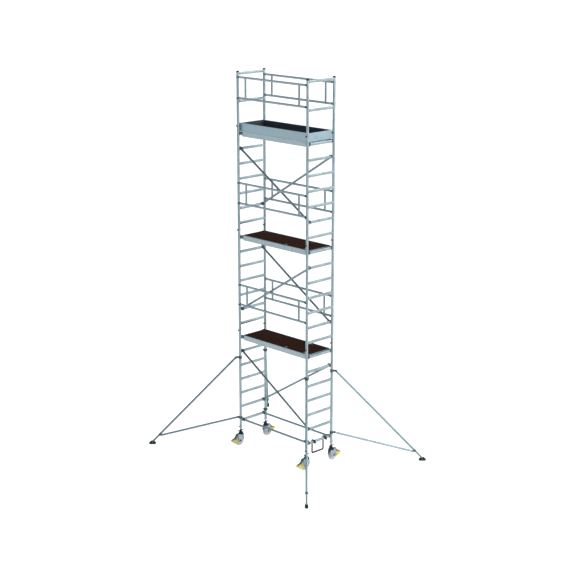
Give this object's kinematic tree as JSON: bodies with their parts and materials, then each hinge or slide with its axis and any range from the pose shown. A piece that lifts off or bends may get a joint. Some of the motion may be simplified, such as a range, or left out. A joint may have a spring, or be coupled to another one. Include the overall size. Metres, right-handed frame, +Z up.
{
  "type": "mobile tower scaffold",
  "caption": "Narrow aluminium rolling tower scaffold with ladder frames, hatch platforms, guardrails, diagonal braces, outriggers and braked swivel castors.",
  "frame": {"origin": "on the floor, at the centre of the rectangle that the four castors stand on", "axes": "+Z up; X along the platforms, from the left ladder frames to the right ones; Y across the tower, front at -Y"},
  "size_m": [4.3852, 3.2502, 7.254],
  "materials": {
    "aluminium_tube": "mill-finish extruded tube, brushed along its length",
    "brace_tube": "mill-finish tube, slightly duller",
    "platform_beam": "extruded box beam, satin",
    "toe_board": "thin aluminium board, satin",
    "deck_plywood": "phenolic film-faced birch plywood, anti-slip surface",
    "dark_steel": "dark powder coat",
    "zinc_plate": "zinc plated pressed steel",
    "wheel_tyre": "pale grey polyamide",
    "pedal_yellow": "yellow coating, worn",
    "outrigger_leg": "telescopic tube with a dark shoe"
  },
  "bodies": {
    "tower": {"ladder_frame_1_left": "aluminium_tube", "ladder_frame_1_right": "aluminium_tube", "ladder_frame_2_left": "aluminium_tube", "ladder_frame_2_right": "aluminium_tube", "ladder_frame_3_left": "aluminium_tube", "ladder_frame_3_right": "aluminium_tube", "guard_end_frame_left": "aluminium_tube", "guard_end_frame_right": "aluminium_tube", "horizontal_brace_front": "brace_tube", "horizontal_brace_back": "brace_tube", "diagonal_brace_1_front": "brace_tube", "diagonal_brace_1_back": "brace_tube", "diagonal_brace_2_front": "brace_tube", "diagonal_brace_2_back": "brace_tube", "diagonal_brace_3_front": "brace_tube", "diagonal_brace_3_back": "brace_tube", "guard_frame_1_front": "aluminium_tube", "guard_frame_1_back": "aluminium_tube", "guard_frame_2_front": "aluminium_tube", "guard_frame_2_back": "aluminium_tube", "guard_frame_3_front": "aluminium_tube", "guard_frame_3_back": "aluminium_tube", "platform_1_frame": "platform_beam", "platform_1_deck": "deck_plywood", "platform_2_frame": "platform_beam", "platform_2_deck": "deck_plywood", "platform_3_frame": "platform_beam", "platform_3_deck": "deck_plywood", "toe_board_front": "toe_board", "toe_board_back": "toe_board", "toe_board_left": "toe_board", "toe_board_right": "toe_board", "stirrup_step": "dark_steel"},
    "hatch_1": {"platform_1_hatch": "deck_plywood"},
    "hatch_2": {"platform_2_hatch": "deck_plywood"},
    "hatch_3": {"platform_3_hatch": "deck_plywood"},
    "castor_stem_front_left": {"castor_stem_front_left": "zinc_plate"},
    "castor_fork_front_left": {"castor_fork_front_left": "zinc_plate"},
    "castor_wheel_front_left": {"castor_wheel_front_left": "wheel_tyre"},
    "castor_pedal_front_left": {"castor_pedal_front_left": "pedal_yellow"},
    "castor_stem_front_right": {"castor_stem_front_right": "zinc_plate"},
    "castor_fork_front_right": {"castor_fork_front_right": "zinc_plate"},
    "castor_wheel_front_right": {"castor_wheel_front_right": "wheel_tyre"},
    "castor_pedal_front_right": {"castor_pedal_front_right": "pedal_yellow"},
    "castor_stem_back_right": {"castor_stem_back_right": "zinc_plate"},
    "castor_fork_back_right": {"castor_fork_back_right": "zinc_plate"},
    "castor_wheel_back_right": {"castor_wheel_back_right": "wheel_tyre"},
    "castor_pedal_back_right": {"castor_pedal_back_right": "pedal_yellow"},
    "castor_stem_back_left": {"castor_stem_back_left": "zinc_plate"},
    "castor_fork_back_left": {"castor_fork_back_left": "zinc_plate"},
    "castor_wheel_back_left": {"castor_wheel_back_left": "wheel_tyre"},
    "castor_pedal_back_left": {"castor_pedal_back_left": "pedal_yellow"},
    "outrigger_front_left": {"outrigger_frame_front_left": "aluminium_tube"},
    "outrigger_leg_front_left": {"outrigger_leg_front_left": "outrigger_leg"},
    "outrigger_front_right": {"outrigger_frame_front_right": "aluminium_tube"},
    "outrigger_leg_front_right": {"outrigger_leg_front_right": "outrigger_leg"},
    "outrigger_back_right": {"outrigger_frame_back_right": "aluminium_tube"},
    "outrigger_leg_back_right": {"outrigger_leg_back_right": "outrigger_leg"},
    "outrigger_back_left": {"outrigger_frame_back_left": "aluminium_tube"},
    "outrigger_leg_back_left": {"outrigger_leg_back_left": "outrigger_leg"}
  },
  "joints": [
    {"name": "hatch_1_hinge", "type": "hinge", "parent": "tower", "child": "hatch_1", "pos_m": [0.51, -0.268, 2.2253], "axis": [1, 0, 0], "range_deg": [0, 90]},
    {"name": "hatch_2_hinge", "type": "hinge", "parent": "tower", "child": "hatch_2", "pos_m": [0.51, -0.268, 4.1853], "axis": [1, 0, 0], "range_deg": [0, 90]},
    {"name": "hatch_3_hinge", "type": "hinge", "parent": "tower", "child": "hatch_3", "pos_m": [0.51, -0.268, 6.1453], "axis": [1, 0, 0], "range_deg": [0, 90]},
    {"name": "castor_lift_front_left", "type": "slide", "parent": "tower", "child": "castor_stem_front_left", "axis": [0, 0, -1], "range_m": [0, 0.2]},
    {"name": "castor_swivel_front_left", "type": "hinge", "parent": "castor_stem_front_left", "child": "castor_fork_front_left", "pos_m": [-0.9, -0.3325, 0.23], "axis": [0, 0, 1], "continuous": true},
    {"name": "castor_roll_front_left", "type": "hinge", "parent": "castor_fork_front_left", "child": "castor_wheel_front_left", "pos_m": [-0.9, -0.3775, 0.1], "axis": [1, 0, 0], "continuous": true},
    {"name": "brake_pedal_front_left", "type": "hinge", "parent": "castor_fork_front_left", "child": "castor_pedal_front_left", "pos_m": [-0.9, -0.4275, 0.2], "axis": [-1, 0, 0], "range_deg": [0, 22]},
    {"name": "castor_lift_front_right", "type": "slide", "parent": "tower", "child": "castor_stem_front_right", "axis": [0, 0, -1], "range_m": [0, 0.2]},
    {"name": "castor_swivel_front_right", "type": "hinge", "parent": "castor_stem_front_right", "child": "castor_fork_front_right", "pos_m": [0.9, -0.3325, 0.23], "axis": [0, 0, 1], "continuous": true},
    {"name": "castor_roll_front_right", "type": "hinge", "parent": "castor_fork_front_right", "child": "castor_wheel_front_right", "pos_m": [0.9, -0.3775, 0.1], "axis": [1, 0, 0], "continuous": true},
    {"name": "brake_pedal_front_right", "type": "hinge", "parent": "castor_fork_front_right", "child": "castor_pedal_front_right", "pos_m": [0.9, -0.4275, 0.2], "axis": [-1, 0, 0], "range_deg": [0, 22]},
    {"name": "castor_lift_back_right", "type": "slide", "parent": "tower", "child": "castor_stem_back_right", "axis": [0, 0, -1], "range_m": [0, 0.2]},
    {"name": "castor_swivel_back_right", "type": "hinge", "parent": "castor_stem_back_right", "child": "castor_fork_back_right", "pos_m": [0.9, 0.3325, 0.23], "axis": [0, 0, 1], "continuous": true},
    {"name": "castor_roll_back_right", "type": "hinge", "parent": "castor_fork_back_right", "child": "castor_wheel_back_right", "pos_m": [0.9, 0.3775, 0.1], "axis": [1, 0, 0], "continuous": true},
    {"name": "brake_pedal_back_right", "type": "hinge", "parent": "castor_fork_back_right", "child": "castor_pedal_back_right", "pos_m": [0.9, 0.4275, 0.2], "axis": [1, 0, 0], "range_deg": [0, 22]},
    {"name": "castor_lift_back_left", "type": "slide", "parent": "tower", "child": "castor_stem_back_left", "axis": [0, 0, -1], "range_m": [0, 0.2]},
    {"name": "castor_swivel_back_left", "type": "hinge", "parent": "castor_stem_back_left", "child": "castor_fork_back_left", "pos_m": [-0.9, 0.3325, 0.23], "axis": [0, 0, 1], "continuous": true},
    {"name": "castor_roll_back_left", "type": "hinge", "parent": "castor_fork_back_left", "child": "castor_wheel_back_left", "pos_m": [-0.9, 0.3775, 0.1], "axis": [1, 0, 0], "continuous": true},
    {"name": "brake_pedal_back_left", "type": "hinge", "parent": "castor_fork_back_left", "child": "castor_pedal_back_left", "pos_m": [-0.9, 0.4275, 0.2], "axis": [1, 0, 0], "range_deg": [0, 22]},
    {"name": "outrigger_swing_front_left", "type": "hinge", "parent": "tower", "child": "outrigger_front_left", "pos_m": [-0.9, -0.3325, 1.17], "axis": [0, 0, 1], "range_deg": [-45, 45]},
    {"name": "outrigger_leg_slide_front_left", "type": "slide", "parent": "outrigger_front_left", "child": "outrigger_leg_front_left", "axis": [-0.4871, -0.4871, -0.7248], "range_m": [0, 0.3]},
    {"name": "outrigger_swing_front_right", "type": "hinge", "parent": "tower", "child": "outrigger_front_right", "pos_m": [0.9, -0.3325, 1.17], "axis": [0, 0, 1], "range_deg": [-45, 45]},
    {"name": "outrigger_leg_slide_front_right", "type": "slide", "parent": "outrigger_front_right", "child": "outrigger_leg_front_right", "axis": [0.4871, -0.4871, -0.7248], "range_m": [0, 0.3]},
    {"name": "outrigger_swing_back_right", "type": "hinge", "parent": "tower", "child": "outrigger_back_right", "pos_m": [0.9, 0.3325, 1.17], "axis": [0, 0, 1], "range_deg": [-45, 45]},
    {"name": "outrigger_leg_slide_back_right", "type": "slide", "parent": "outrigger_back_right", "child": "outrigger_leg_back_right", "axis": [0.4871, 0.4871, -0.7248], "range_m": [0, 0.3]},
    {"name": "outrigger_swing_back_left", "type": "hinge", "parent": "tower", "child": "outrigger_back_left", "pos_m": [-0.9, 0.3325, 1.17], "axis": [0, 0, 1], "range_deg": [-45, 45]},
    {"name": "outrigger_leg_slide_back_left", "type": "slide", "parent": "outrigger_back_left", "child": "outrigger_leg_back_left", "axis": [-0.4871, 0.4871, -0.7248], "range_m": [0, 0.3]}
  ]
}
